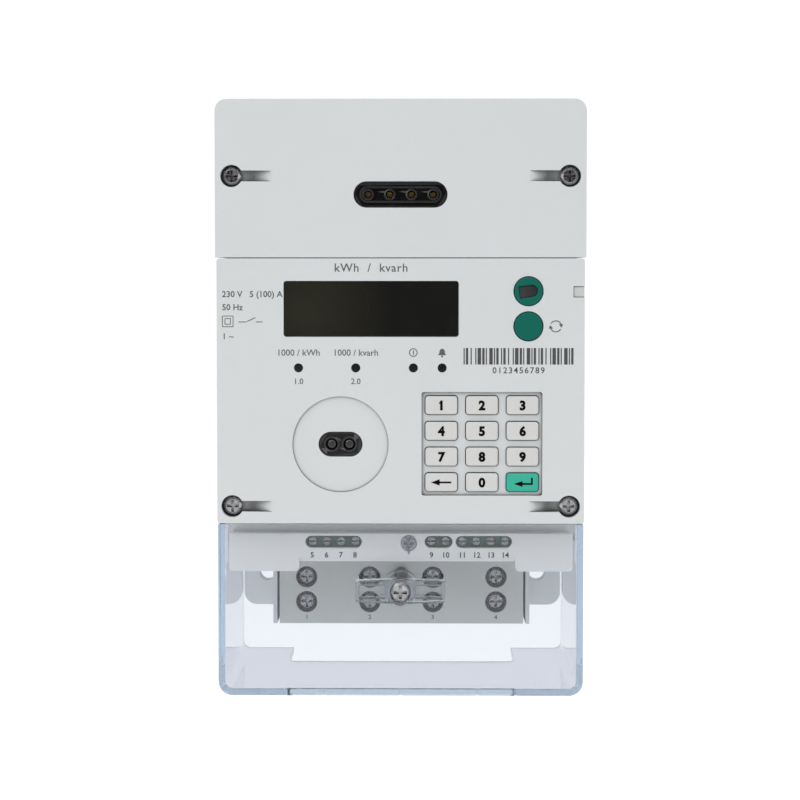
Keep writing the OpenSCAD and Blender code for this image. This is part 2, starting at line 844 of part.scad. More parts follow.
module reset_insert()
    color(near_black) translate([reset_at[0], 0, reset_at[1]])
        slab(front - cap_well, front - 0.1) d_shape(pointer_w, pointer_h);

// A rectangle with one round end, tilted a little
module d_shape(w, h)
    rotate(8) {
        translate([-w / 2, -h / 2]) square([w - h / 2, h]);
        translate([w / 2 - h / 2, 0]) circle(r = h / 2);
    }

module button_switches()
    color([0.30, 0.30, 0.31]) for (p = [reset_at, scroll_at]) {
        slab(panel_board, switch_out - switch_cap_h) translate(p) square(switch_w, center = true);
        bar(p[0], p[1], switch_cap_r, switch_out - switch_cap_h - eps, switch_out);
    }

module display_board()
    color(board_green) difference() {
        slab(panel_board - board_t, panel_board)
            translate([0, (front_low + module_z) / 2]) square([case_w - 22, front_h - 10], center = true);
        for (p = board_posts)
            bar(p[0], p[1], pin_hole_r, panel_board - board_t - 1, panel_board + 1);
    }

module main_board()
    color(board_green) difference() {
        block([-main_board_x, main_board_x], main_board_z, [main_board_out, main_board_out + board_t]);
        for (p = main_posts)
            bar(p[0], p[1], pin_hole_r, main_board_out - 1, main_board_out + board_t + 1);
    }

module relay()
    color([0.13, 0.14, 0.17])
        block(relay_x, relay_z, [wall, bar_out[0] - 1.5]);

// Bars from the four clamps up into the case: two end at the relay, two meet in the neutral link
module busbars()
    color(copper) {
        half = bar_w / 2;
        for (x = terminal_x)
            block([x - half, x + half], [clamp_top, x < 0 ? link_z[1] : link_z[0]], bar_out);
        block([terminal_x[2] - half, terminal_x[3] + half], [link_z[0] - eps, link_z[1]], bar_out);
    }

module shunt()
    color([0.62, 0.56, 0.50])
        block([terminal_x[0] - 4, terminal_x[0] + 4], [link_z[1] + 0.2, link_z[1] + 8],
              [bar_out[0], bar_out[1] + 0.6]);

module transformer()
    color([0.42, 0.40, 0.36]) {
        block(core_x, core_z, [core_out, main_board_out]);
        block([core_x[0] + winding_inset, core_x[1] - winding_inset],
              [core_z[0] - winding_over, core_z[1] + winding_over],
              [core_out + 2, main_board_out - 2]);
    }

module capacitors()
    color([0.16, 0.18, 0.26]) for (p = capacitor_at)
        bar(p[0], p[1], capacitor_r, main_board_out - capacitor_h, main_board_out);

module battery()
    color([0.30, 0.52, 0.42])
        translate([battery_at[0], battery_r + 0.2 - main_board_out, battery_at[1]]) rotate([0, 90, 0])
            cylinder(r = battery_r, h = battery_l);

module module_port()
    color(near_black) difference() {
        union() {
            slab(inner - 1.6, inner) at_port() pill(contact_port_w + 4, contact_port_h + 4);
            slab(inner - eps, port_face) at_port() pill(contact_port_w - 0.3, contact_port_h - 0.3);
            slab(port_face - eps, port_face + port_rim) at_port() difference() {
                pill(port_ring_w, port_ring_h);
                pill(port_ring_w - 2 * port_ring_t, port_ring_h - 2 * port_ring_t);
            }
            for (x = contact_x)
                bar(x, contact_port_z, contact_ring_r, port_face - eps, port_face + port_rim);
        }
        for (x = contact_x)
            bar(x, contact_port_z, contact_hole_r, inner - 2, front);
    }

module at_port() translate([0, contact_port_z]) children();

// Sprung contacts of the port, and the header pins that enter the socket
module module_contacts()
    color(brass) {
        half = header_pin / 2;
        for (x = contact_x)
            bar(x, contact_port_z, contact_r, module_board_out + board_t, inner - 1.4);
        for (i = [0:header_pins - 1], row = [-1, 1]) {
            x = (i - (header_pins - 1) / 2) * header_pitch;
            z = socket_z + row * header_pitch / 2;
            block([x - half, x + half], [z - half, z + half], [base_d, module_board_out]);
        }
    }

module module_board()
    color(board_green) difference() {
        slab(module_board_out, module_board_out + board_t)
            translate([0, (module_z + top_z) / 2]) square([module_board_w, module_h - 10], center = true);
        for (p = module_posts)
            bar(p[0], p[1], pin_hole_r, module_board_out - 1, module_board_out + board_t + 1);
    }

module radio_can()
    color(steel) slab(module_board_out + board_t, module_board_out + board_t + can_h)
        translate(can_at) round_rect(can_w, can_l, 1);

// Socket on the main board that reaches through the ledge to the module
module module_socket()
    color(near_black) difference() {
        half = socket_w / 2;
        out = main_board_out + board_t;
        block([-half, half], [socket_z - socket_h / 2, socket_z + socket_h / 2], [out, ledge + 2.4]);
        block([-half + socket_wall, half - socket_wall],
              [socket_z - socket_h / 2 + socket_wall - 0.1, socket_z + socket_h / 2 - socket_wall + 0.1],
              [out + 2, ledge + 3]);
    }

base_case();
front_cover();
case_gasket();
module_cover();
terminal_cover();
terminal_shelf();
case_screws();
module_screws();
shelf_screw();
cover_knob();
cover_screw();
side_insert();
hanger();
terminal_block();
terminal_clamps();
terminal_screws();
aux_terminals(aux_left, 4);  // aux_terminals_left
aux_terminals(aux_middle, 2);  // aux_terminals_middle
aux_terminals(aux_right, 4);  // aux_terminals_right
aux_screws();
aux_board();
display_window();
display_panel();
display_holder();
led_lenses();
status_leds();
optical_port();
optical_diodes();
probe_plate();
key(-1, 0, case_white);  // key_1
key(0, 0, case_white);  // key_2
key(1, 0, case_white);  // key_3
key(-1, 1, case_white);  // key_4
key(0, 1, case_white);  // key_5
key(1, 1, case_white);  // key_6
key(-1, 2, case_white);  // key_7
key(0, 2, case_white);  // key_8
key(1, 2, case_white);  // key_9
key(-1, 3, case_white);  // key_back
key(0, 3, case_white);  // key_0
key(1, 3, enter_green);  // key_enter
keypad_mat();
scroll_button();
reset_button();
reset_insert();
reset_plunger();
button_switches();
display_board();
main_board();
relay();
busbars();
shunt();
transformer();
capacitors();
battery();
module_port();
module_contacts();
module_board();
radio_can();
module_socket();
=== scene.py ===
"""Looks for the prepaid electricity meter: finishes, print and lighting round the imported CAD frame.

The front faces -Y, so a print on a face lies at that face's lowest y. Lengths are in metres, except where a
name ends in _mm and in the print, whose shapes are drawn in millimetres.
"""

import json
import math

import bmesh
import bpy
from mathutils import Matrix, Vector

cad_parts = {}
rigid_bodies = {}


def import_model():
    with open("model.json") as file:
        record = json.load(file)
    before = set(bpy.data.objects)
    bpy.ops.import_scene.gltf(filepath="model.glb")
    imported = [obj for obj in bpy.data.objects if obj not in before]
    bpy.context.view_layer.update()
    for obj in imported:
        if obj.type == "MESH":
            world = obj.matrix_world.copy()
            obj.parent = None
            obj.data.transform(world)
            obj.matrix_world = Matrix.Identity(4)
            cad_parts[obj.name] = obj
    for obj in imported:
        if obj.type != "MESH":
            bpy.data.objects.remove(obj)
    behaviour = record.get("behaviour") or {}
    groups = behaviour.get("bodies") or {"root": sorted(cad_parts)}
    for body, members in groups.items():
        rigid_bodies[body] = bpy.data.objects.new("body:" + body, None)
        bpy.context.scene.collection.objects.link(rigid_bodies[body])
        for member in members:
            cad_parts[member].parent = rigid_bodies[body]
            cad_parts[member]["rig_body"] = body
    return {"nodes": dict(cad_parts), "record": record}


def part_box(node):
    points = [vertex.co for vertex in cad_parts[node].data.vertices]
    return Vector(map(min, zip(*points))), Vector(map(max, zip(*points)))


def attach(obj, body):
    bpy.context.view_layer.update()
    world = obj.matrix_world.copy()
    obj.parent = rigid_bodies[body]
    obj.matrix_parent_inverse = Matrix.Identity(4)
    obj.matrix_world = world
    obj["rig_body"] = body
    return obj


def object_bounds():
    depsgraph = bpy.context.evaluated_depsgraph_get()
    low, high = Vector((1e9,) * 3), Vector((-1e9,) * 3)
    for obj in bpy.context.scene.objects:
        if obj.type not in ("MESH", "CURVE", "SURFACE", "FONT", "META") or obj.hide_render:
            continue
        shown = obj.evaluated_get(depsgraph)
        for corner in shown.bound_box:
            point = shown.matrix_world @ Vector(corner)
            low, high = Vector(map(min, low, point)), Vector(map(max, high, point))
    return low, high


MM = 0.001
SAME_POINT = 0.001 * MM
SAME_INK_POINT = 0.0001 * MM
INK_T = 0.03 * MM
FACING = Matrix.Rotation(math.pi / 2, 4, "X")

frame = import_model()
cad_low, cad_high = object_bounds()


# ---------------------------------------------------------------- places

def centre(node):
    low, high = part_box(node)
    return (low + high) / 2


def front_of(node):
    """The y of a node's frontmost surface."""
    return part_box(node)[0].y


def centres(node):
    """The centre of each separate solid in a CAD node, from left to right and top to bottom."""
    bm = bmesh.new()
    bm.from_mesh(frame["nodes"][node].data)
    bmesh.ops.remove_doubles(bm, verts=bm.verts, dist=SAME_POINT)
    boxes, seen = [], set()
    for start in bm.verts:
        if start in seen:
            continue
        found, queue = [], [start]
        seen.add(start)
        while queue:
            vertex = queue.pop()
            found.append(vertex.co.copy())
            for edge in vertex.link_edges:
                other = edge.other_vert(vertex)
                if other not in seen:
                    seen.add(other)
                    queue.append(other)
        low = Vector(min(co[i] for co in found) for i in range(3))
        high = Vector(max(co[i] for co in found) for i in range(3))
        boxes.append((low, high))
    bm.free()
    boxes.sort(key=lambda box: (round(box[0].x, 4), -round(box[0].z, 4)))
    return [(low + high) / 2 for low, high in boxes]


# ---------------------------------------------------------------- materials

class Finish:
    """A procedural material. Patterns use object coordinates, which are the row frame's own metres."""

    def __init__(self, name, colour, roughness, metallic=0.0, specular=0.5):
        self.material = bpy.data.materials.new(name)
        self.material.use_nodes = True
        self.tree = self.material.node_tree
        self.shader = self.tree.nodes["Principled BSDF"]
        self.coordinates = self.tree.nodes.new("ShaderNodeTexCoord").outputs["Object"]
        self.colour = colour
        self.height = None
        self.set("Base Color", rgba(colour))
        self.set("Roughness", roughness)
        self.set("Metallic", metallic)
        self.set("Specular IOR Level", specular)

    def set(self, socket, value):
        self.shader.inputs[socket].default_value = value
        return self

    def join(self, source, target):
        self.tree.links.new(source, target)

    def noise(self, size_mm, detail=3.0, stretch=(1, 1, 1)):
        """Noise with blotches about size_mm across, longer along an axis where stretch is below 1."""
        mapping = self.tree.nodes.new("ShaderNodeMapping")
        mapping.inputs["Scale"].default_value = stretch
        self.join(self.coordinates, mapping.inputs["Vector"])
        texture = self.tree.nodes.new("ShaderNodeTexNoise")
        texture.inputs["Scale"].default_value = 1 / (size_mm * MM)
        texture.inputs["Detail"].default_value = detail
        self.join(mapping.outputs["Vector"], texture.inputs["Vector"])
        return texture.outputs["Fac"]

    def ranged(self, factor, low, high, start=0.3, end=0.7):
        """Goes from low to high while a factor goes from start to end."""
        node = self.tree.nodes.new("ShaderNodeMapRange")
        values = {"From Min": start, "From Max": end, "To Min": low, "To Max": high}
        for socket, value in values.items():
            node.inputs[socket].default_value = value
        self.join(factor, node.inputs["Value"])
        return node.outputs["Result"]

    def tint(self, factor, colour, most=1.0, start=0.3, end=0.7):
        """Blends the base colour towards another where factor is high."""
        mix = self.tree.nodes.new("ShaderNodeMix")
        mix.data_type = "RGBA"
        base = self.shader.inputs["Base Color"]
        if base.is_linked:
            self.join(base.links[0].from_socket, mix.inputs["A"])
        else:
            mix.inputs["A"].default_value = rgba(self.colour)
        mix.inputs["B"].default_value = rgba(colour)
        self.join(self.ranged(factor, 0.0, most, start, end), mix.inputs["Factor"])
        self.join(mix.outputs["Result"], base)
        return self

    def vary(self, size_mm, amount):
        """Makes the base colour a little darker in blotches."""
        darker = tuple(max(0.0, c - amount) for c in self.colour)
        return self.tint(self.noise(size_mm), darker)

    def roughen(self, size_mm, low, high, stretch=(1, 1, 1)):
        """Lets the roughness wander between two values."""
        factor = self.noise(size_mm, detail=4.0, stretch=stretch)
        self.join(self.ranged(factor, low, high), self.shader.inputs["Roughness"])
        return self

    def bump(self, size_mm, depth_mm, detail=2.0, stretch=(1, 1, 1)):
        """Adds fine relief on top of any relief that is already there."""
        node = self.tree.nodes.new("ShaderNodeBump")
        node.inputs["Distance"].default_value = depth_mm * MM
        self.join(self.noise(size_mm, detail, stretch), node.inputs["Height"])
        if self.height is not None:
            self.join(self.height, node.inputs["Normal"])
        self.height = node.outputs["Normal"]
        self.join(self.height, self.shader.inputs["Normal"])
        return self

    def edge_wear(self, colour, most=0.6):
        """Blends to another colour on convex edges, partly as rubbed wear and partly as a painted
        highlight.
        """
        geometry = self.tree.nodes.new("ShaderNodeNewGeometry")
        return self.tint(geometry.outputs["Pointiness"], colour, most, start=0.52, end=0.6)

    def grime(self, colour, reach_mm, most=0.5, start=0.35, end=1.0, own=False):
        """Painted shade: blends to another colour in corners and gaps, where ambient occlusion finds them,
        or only in the node's own ones.
        """
        occlusion = self.tree.nodes.new("ShaderNodeAmbientOcclusion")
        occlusion.samples = 6
        occlusion.only_local = own
        occlusion.inputs["Distance"].default_value = reach_mm * MM
        invert = self.ranged(occlusion.outputs["AO"], 1.0, 0.0, 0.0, 1.0)
        return self.tint(invert, colour, most, start, end)

    def near(self, place, radius_mm):
        """A factor that is 1 at a place and falls to 0 at that radius."""
        distance = self.tree.nodes.new("ShaderNodeVectorMath")
        distance.operation = "DISTANCE"
        distance.inputs[1].default_value = place
        self.join(self.coordinates, distance.inputs[0])
        return self.ranged(distance.outputs["Value"], 1.0, 0.0, 0.0, radius_mm * MM)


def rgba(colour):
    """A colour as a screen shows it, turned into the linear colour with alpha that a socket takes."""
    linear = [c / 12.92 if c <= 0.04045 else ((c + 0.055) / 1.055) ** 2.4 for c in colour]
    return (*linear, 1.0)


def moulded(name, colour, roughness=0.42, grain_mm=0.35):
    """Injection-moulded plastic with a fine eroded texture."""
    finish = Finish(name, colour, roughness, specular=0.4)
    finish.vary(38, 0.012).vary(1.6, 0.008)
    finish.roughen(6, roughness - 0.05, roughness + 0.07)
    return finish.bump(grain_mm, 0.006).bump(22, 0.05, detail=1.0)


def metal(name, colour, roughness=0.28, brushed=(1, 1, 1)):
    """Plated or bare metal with fine handling marks."""
    finish = Finish(name, colour, roughness, metallic=1.0)
    darker = tuple(c * 0.7 for c in colour)
    finish.tint(finish.noise(3.2, detail=2.0), darker, most=0.7)
    finish.roughen(0.9, roughness - 0.08, roughness + 0.16, stretch=brushed)
    return finish.bump(0.3, 0.008, stretch=brushed)


# What is left of white light after a long way through the clear plastic.
DEEP_TINT = (0.53, 0.665, 0.78, 1.0)


def clear(name, tint, density):
    """Clear polycarbonate, blue where light goes a long way through it. Lamps light what is behind it."""
    finish = Finish(name, tint, 0.0)
    finish.set("Transmission Weight", 1.0).set("IOR", 1.5)
    finish.roughen(9, 0.0, 0.012)
    finish.bump(30, 0.02, detail=1.0)
    nodes = finish.tree.nodes
    output = nodes["Material Output"]
    absorption = nodes.new("ShaderNodeVolumeAbsorption")
    absorption.inputs["Color"].default_value = DEEP_TINT
    absorption.inputs["Density"].default_value = density
    finish.join(absorption.outputs["Volume"], output.inputs["Volume"])
    rays = nodes.new("ShaderNodeLightPath")
    through = nodes.new("ShaderNodeBsdfTransparent")
    surface = finish.shader.outputs["BSDF"]
    for ray in ("Is Diffuse Ray", "Is Shadow Ray"):
        mix = nodes.new("ShaderNodeMixShader")
        finish.join(rays.outputs[ray], mix.inputs["Fac"])
        finish.join(surface, mix.inputs[1])
        finish.join(through.outputs["BSDF"], mix.inputs[2])
        surface = mix.outputs["Shader"]
    finish.join(surface, output.inputs["Surface"])
    return finish


def board(name):
    """Circuit board under green lacquer, with lighter specks."""
    finish = Finish(name, (0.07, 0.30, 0.20), 0.35)
    finish.vary(5, 0.03)
    finish.tint(finish.noise(1.2, detail=1.0), (0.12, 0.40, 0.26), most=0.8, start=0.55, end=0.58)
    return finish.bump(0.8, 0.01)


CASE = moulded("case_plastic", (0.826, 0.840, 0.845))
# Painted shade: the case darkens in its own recesses and in the narrow gaps next to other parts.
CASE.grime((0.06, 0.06, 0.06), reach_mm=5, most=0.95, start=0.22, end=0.6, own=True)
CASE.grime((0.02, 0.02, 0.02), reach_mm=1.2, most=1.0, start=0.45, end=0.8)
SHELF = moulded("shelf_plastic", (0.93, 0.93, 0.915))
# Painted shade: the shelf darkens in its own corners.
SHELF.grime((0.30, 0.31, 0.32), reach_mm=3, most=0.7, own=True)
BLOCK = moulded("block_plastic", (0.78, 0.79, 0.78), 0.5)
# Painted shade: the terminal block goes near black deep in its screw wells and gaps.
BLOCK.grime((0.01, 0.01, 0.01), reach_mm=3, most=1.0, start=0.2, end=0.5)
CLEAR = clear("clear_cover", (0.87, 0.88, 0.905), 22).set("Transmission Weight", 0.985)
KNOB = clear("clear_knob", (0.90, 0.91, 0.92), 16)
STEEL = metal("screw_steel", (0.74, 0.74, 0.745), 0.2)
# Painted shade: the screw heads go dark in their recesses.
STEEL.grime((0.02, 0.02, 0.02), reach_mm=1.4, most=0.95, start=0.25)
# Lighter convex edges: partly rubbed wear, partly a painted highlight.
PLATE = metal("plate_steel", (0.74, 0.75, 0.76), 0.34, (1, 1, 0.1)).edge_wear((0.86, 0.86, 0.86))
# Painted shade: the brass goes dark in its corners and gaps.
BRASS = metal("brass", (0.80, 0.66, 0.38), 0.3).grime((0.05, 0.04, 0.03), reach_mm=2, most=0.9)
COPPER = metal("copper", (0.78, 0.50, 0.36), 0.32)
SHUNT = metal("shunt_alloy", (0.62, 0.57, 0.52), 0.4)
# Lighter convex edges: mostly a painted highlight, partly rubbed wear.
BLACK = moulded("black_plastic", (0.03, 0.03, 0.03), 0.24).edge_wear((0.38, 0.38, 0.38), 0.7)
LENS = Finish("smoked_lens", (0.105, 0.105, 0.10), 0.06).vary(9, 0.01).roughen(12, 0.04, 0.12)
# The left end of the lens lets a little of the display's backlight through.
LENS_GLOW_AT = centre("display_window") + Vector((-22 * MM, 0, 0))
LENS.tint(LENS.near(LENS_GLOW_AT, 30), (0.185, 0.180, 0.145), most=0.9, start=0.0, end=1.0).bump(18, 0.01)
GLASS = Finish("display_glass", (0.20, 0.22, 0.19), 0.12).vary(6, 0.03).bump(2, 0.004)
LED = Finish("led_lens", (0.62, 0.12, 0.09), 0.15).vary(1, 0.05).bump(0.8, 0.004)
DIODE = Finish("diode_lens", (0.06, 0.045, 0.06), 0.05, specular=0.8).vary(1, 0.02).bump(1.5, 0.01)
KEY = moulded("key_plastic", (0.82, 0.82, 0.815), 0.36, 0.25)
# Painted shade: the white keys go dark in the gaps round them.
KEY.grime((0.01, 0.01, 0.01), reach_mm=1.3, most=1.0, start=0.12, end=0.5)
ENTER = moulded("enter_plastic", (0.21, 0.685, 0.59), 0.36, 0.25)
# Painted shade: the green key goes dark in the gap round it.
ENTER.grime((0.01, 0.05, 0.04), reach_mm=1.3, most=1.0, start=0.12, end=0.5)
BUTTON = moulded("button_plastic", (0.01, 0.385, 0.335), 0.5, 0.3)
BUTTON.set("Specular IOR Level", 0.2)
# Painted shade: the green buttons go dark in their recesses.
BUTTON.grime((0.01, 0.06, 0.05), reach_mm=1, most=0.9, start=0.25)
PLUNGER = moulded("plunger_plastic", (0.82, 0.83, 0.82))
AUX = moulded("terminal_green", (0.16, 0.36, 0.26), 0.45)
# Painted shade: the green terminals go dark in their corners and slots.
AUX.grime((0.02, 0.05, 0.04), reach_mm=1.5, most=0.9)
BOARD = board("circuit_board")
GASKET = Finish("gasket_rubber", (0.11, 0.11, 0.11), 0.7).vary(3, 0.02).bump(0.5, 0.02)
MAT = Finish("mat_rubber", (0.55, 0.56, 0.57), 0.6).vary(4, 0.03).bump(0.5, 0.01)
RELAY = moulded("relay_plastic", (0.16, 0.17, 0.2))
CORE = metal("core_steel", (0.38, 0.37, 0.35), 0.5, (1, 0.05, 1))
CAN = Finish("capacitor_can", (0.17, 0.19, 0.27), 0.3).vary(3, 0.03).bump(1, 0.01)
SLEEVE = Finish("battery_sleeve", (0.32, 0.53, 0.43), 0.35).vary(5, 0.03).bump(1, 0.01)
KEY_INK = Finish("key_ink", (0.012, 0.012, 0.012), 0.5, specular=0.1).vary(0.8, 0.03).bump(0.3, 0.004)
PRINT_INK = Finish("print_ink", (0.36, 0.37, 0.375), 0.55).vary(0.7, 0.05).bump(0.3, 0.004)
CODE_INK = Finish("code_ink", (0.31, 0.31, 0.31), 0.55).vary(0.5, 0.08).bump(0.3, 0.004)
FLOOR = Finish("studio_floor", (1.0, 1.0, 1.0), 0.9, specular=0.1).vary(400, 0.004)
CARD = Finish("dark_card", (0.05, 0.05, 0.05), 0.9)

FINISHES = {
    "case_plastic": CASE, "shelf_plastic": SHELF, "block_plastic": BLOCK, "clear_plastic": CLEAR,
    "screw_steel": STEEL, "plate_steel": PLATE, "brass": BRASS, "copper": COPPER, "shunt_alloy": SHUNT,
    "black_plastic": BLACK, "smoked_lens": LENS, "display_glass": GLASS, "led_lens": LED,
    "diode_lens": DIODE, "key_plastic": KEY, "enter_plastic": ENTER, "button_plastic": BUTTON,
    "plunger_plastic": PLUNGER, "terminal_green": AUX, "circuit_board": BOARD, "gasket_rubber": GASKET,
    "mat_rubber": MAT, "relay_plastic": RELAY, "core_steel": CORE, "capacitor_can": CAN,
    "battery_sleeve": SLEEVE,
}
OWN_FINISH = {"cover_knob": KNOB}

# Width of the rounded edges that show. Other nodes have EDGE_MM.
EDGES_MM = {
    "module_cover": 0.5, "front_cover": 0.35, "base_case": 0.4, "terminal_cover": 0.35,
    "terminal_shelf": 0.35, "terminal_block": 0.3, "cover_knob": 0.4, "hanger": 0.3, "reset_button": 0.15,
    "scroll_button": 0.2, "keypad_mat": 0.2, "terminal_screws": 0.2, "case_screws": 0.2,
    "module_screws": 0.2, "cover_screw": 0.2,
}
EDGE_MM = 0.12
FLAT_ANGLE = math.radians(0.5)
SHARP_ANGLE = math.radians(32)


def round_edges(node, width):
    """Welds a CAD node's split vertices, merges its flat triangles and rounds its sharp edges."""
    weld = node.modifiers.new("weld", "WELD")
    weld.merge_threshold = SAME_POINT
    flat = node.modifiers.new("flat", "DECIMATE")
    flat.decimate_type = "DISSOLVE"
    flat.angle_limit = FLAT_ANGLE
    bevel = node.modifiers.new("edges", "BEVEL")
    bevel.width = width
    bevel.segments = 2
    bevel.limit_method = "ANGLE"
    bevel.angle_limit = SHARP_ANGLE
    bevel.miter_outer = "MITER_ARC"
    bevel.use_clamp_overlap = True
    normals = node.modifiers.new("normals", "WEIGHTED_NORMAL")
    normals.keep_sharp = False
    for polygon in node.data.polygons:
        polygon.use_smooth = True


slot_of = {part["node"]: part["material_slot"] for part in frame["record"]["subparts"]}
for name, node in frame["nodes"].items():
    finish = OWN_FINISH.get(name, FINISHES[slot_of[name]])
    node.data.materials.clear()
    node.data.materials.append(finish.material)
    round_edges(node, EDGES_MM.get(name, EDGE_MM) * MM)


# ---------------------------------------------------------------- print

# Share of a font's size that its digits are high.
DIGIT_HEIGHT = 0.70


def corners(x0, x1, z0, z1):
    return [(x0, z0), (x1, z0), (x1, z1), (x0, z1)]


def arc(x, z, radius, degrees):
    """Points round a centre at the given angles."""
    turns = [math.radians(angle) for angle in degrees]
    return [(x + radius * math.cos(t), z + radius * math.sin(t)) for t in turns]


class Print:
    """Flat ink on one front-facing surface, gathered into one mesh.

    Shapes are drawn in millimetres, as (x, z) from an origin that is set in metres.
    """

    def __init__(self, face_y):
        self.face_y = face_y
        self.x = 0.0
        self.z = 0.0
        self.bm = bmesh.new()

    def at(self, x, z):
        """Moves the origin for the shapes that follow."""
        self.x = x
        self.z = z
        return self

    def area(self, outline, hole=None):
        """Fills an outline, less a hole with the same number of points."""
        rings = [outline] + ([hole] if hole else [])
        verts = []
        for y in (self.face_y, self.face_y - INK_T):
            places = [[(self.x + u * MM, y, self.z + v * MM) for u, v in ring] for ring in rings]
            verts.append([[self.bm.verts.new(place) for place in ring] for ring in places])
        count = len(outline)
        for i in range(count):
            j = (i + 1) % count
            for ring in range(len(rings)):
                back, front = verts[0][ring], verts[1][ring]
                self.bm.faces.new((back[i], back[j], front[j], front[i]))
            if hole:
                for level in verts:
                    self.bm.faces.new((level[0][i], level[0][j], level[1][j], level[1][i]))
        if not hole:
            for level in verts:
                self.bm.faces.new(level[0])

    def stroke(self, start, end, width):
        """A straight line with square ends."""
        a, b = Vector(start), Vector(end)
        along = (b - a).normalized() * width / 2
        side = Vector((-along.y, along.x))
        a, b = a - along, b + along
        self.area([a + side, b + side, b - side, a - side])

    def rectangle(self, x0, x1, z0, z1, line=None):
        """A filled rectangle, or the outline of one in that line width."""
        hole = corners(x0 + line, x1 - line, z0 + line, z1 - line) if line else None
        self.area(corners(x0, x1, z0, z1), hole)

    def ring(self, x, z, radius, line=None):
        """A disc, or a ring of that line width."""
        steps = 28
        degrees = [360 * i / steps for i in range(steps)]
        hole = arc(x, z, radius - line, degrees) if line else None
        self.area(arc(x, z, radius, degrees), hole)

    def text(self, words, x, z, height, weight=0.0, align="CENTER", spacing=1.0):
        """Digits and unit signs, with digits of that height, centred on z."""
        curve = bpy.data.curves.new("words", "FONT")
        curve.body = words
        curve.align_x = align
        curve.size = height * MM / DIGIT_HEIGHT
        curve.offset = weight * height * MM
        curve.space_character = spacing
        curve.resolution_u = 3
        curve.extrude = INK_T / 2
        source = bpy.data.objects.new("words", curve)
        bpy.context.scene.collection.objects.link(source)
        evaluated = source.evaluated_get(bpy.context.evaluated_depsgraph_get())
        mesh = bpy.data.meshes.new_from_object(evaluated)
        foot = Vector((self.x + x * MM, self.face_y - INK_T / 2, self.z + (z - height / 2) * MM))
        mesh.transform(Matrix.Translation(foot) @ FACING)
        self.bm.from_mesh(mesh)
        bpy.data.objects.remove(source)
        bpy.data.curves.remove(curve)
        bpy.data.meshes.remove(mesh)

    def finish(self, name, body, finish, slot):
        """Turns the gathered ink into a piece that rides on a body."""
        bmesh.ops.remove_doubles(self.bm, verts=self.bm.verts, dist=SAME_INK_POINT)
        bmesh.ops.recalc_face_normals(self.bm, faces=self.bm.faces)
        mesh = bpy.data.meshes.new(name)
        self.bm.to_mesh(mesh)
        self.bm.free()
        mesh.materials.append(finish.material)
        piece = bpy.data.objects.new(name, mesh)
        bpy.context.scene.collection.objects.link(piece)
        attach(piece, body)


def key_legends():
    """Digits and two arrows, each riding on its own key."""
    for key in ["1", "2", "3", "4", "5", "6", "7", "8", "9", "back", "0", "enter"]:
        node = "key_" + key
        middle = centre(node)
        ink = Print(front_of(node)).at(middle.x, middle.z)
        if key == "back":
            ink.area([(-3.6, 0), (-0.6, 1.1), (-0.6, -1.1)])
            ink.stroke((-0.4, 0), (3.2, 0), 0.6)
        elif key == "enter":
            ink.area([(-3, -0.5), (0, 0.5), (0, -1.5)])
            ink.area([(-0.2, -0.8), (3.6, -0.8), (3.6, 1.7), (3.0, 1.7), (3.0, -0.2), (-0.2, -0.2)])
        else:
            ink.text(key, 0, 0, 3.1, 0.07)
        if key == "1":
            # The font's own 1 is a plain bar, so it gets a flag.
            ink.stroke((0, 1.3), (-0.6, 0.75), 0.45)
        ink.finish("legend_" + key, frame["nodes"][node]["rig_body"], KEY_INK, "black_plastic")


def coin(ink, x, z):
    ink.ring(x, z, 1.5, 0.3)
    ink.rectangle(x - 0.15, x + 0.15, z - 0.8, z + 0.8)


def bell(ink, x, z):
    right = [(1.5, -0.9), (1.0, -0.3), (0.9, 0.7), (0.4, 1.3)]
    left = [(-u, v) for u, v in reversed(right)]
    ink.area([(x + u, z + v) for u, v in right + left])
    ink.ring(x, z - 1.35, 0.35)


def turn_arrow(ink, x, z):
    """Two bent arrows that stand for stepping through the display's pages."""
    steps = 12
    sweep = 130
    head = [(-0.75, 0.1), (0.75, 0.1), (0.1, -1.1)]
    for sign, start in ((1, 20), (-1, 200)):
        degrees = [start + sweep * i / steps for i in range(steps + 1)]
        outer = arc(x, z, 2.1, degrees)
        inner = arc(x, z, 1.75, degrees)
        ink.area(outer + inner[::-1])
        head_x, head_z = arc(x, z, 1.92, [start])[0]
        ink.area([(head_x + sign * u, head_z + sign * v) for u, v in head])


def double_square(ink, x, z, size):
    line = 0.25
    inset = 0.9
    ink.rectangle(x, x + size, z, z + size, line)
    ink.rectangle(x + inset, x + size - inset, z + inset, z + size - inset, line)


def open_switch(ink, x, z):
    line = 0.3
    ink.stroke((x, z), (x + 2.4, z), line)
    ink.stroke((x + 2.9, z + 0.2), (x + 5.6, z + 1.5), line)
    ink.stroke((x + 6.1, z), (x + 8, z), line)


def ratings(ink):
    """Unit signs above the display, and the supply's ratings to the left of it."""
    window = centre("display_window")
    ink.at(window.x, window.z)
    ink.text("kWh  /  kvarh", 0, 14.5, 2.9, 0.01, spacing=1.1)
    ink.at(cad_low.x + 2.4 * MM, window.z)
    ink.text("230 V   5 (100) A", 0, 5.2, 2.1, 0.02, "LEFT")
    ink.text("50 Hz", 0, 0.6, 2.1, 0.02, "LEFT")
    double_square(ink, 0, -6.4, 4)
    open_switch(ink, 6, -4.6)
    ink.text("1 ~", 0, -9.6, 2.1, 0.01, "LEFT")


def led_labels(ink, leds):
    """What each light stands for: two pulse rates, credit and alarm."""
    above, below = 5.4, -4.7
    for led, rate, energy in zip(leds, ["1000 / kWh", "1000 / kvarh"], ["1.0", "2.0"]):
        ink.at(led.x, led.z)
        ink.text(rate, 0, above, 2.2, 0.01)
        ink.text(energy, 0, below, 2.0, 0.01)
    coin(ink.at(leds[2].x, leds[2].z), 0, above)
    bell(ink.at(leds[3].x, leds[3].z), 0, above)


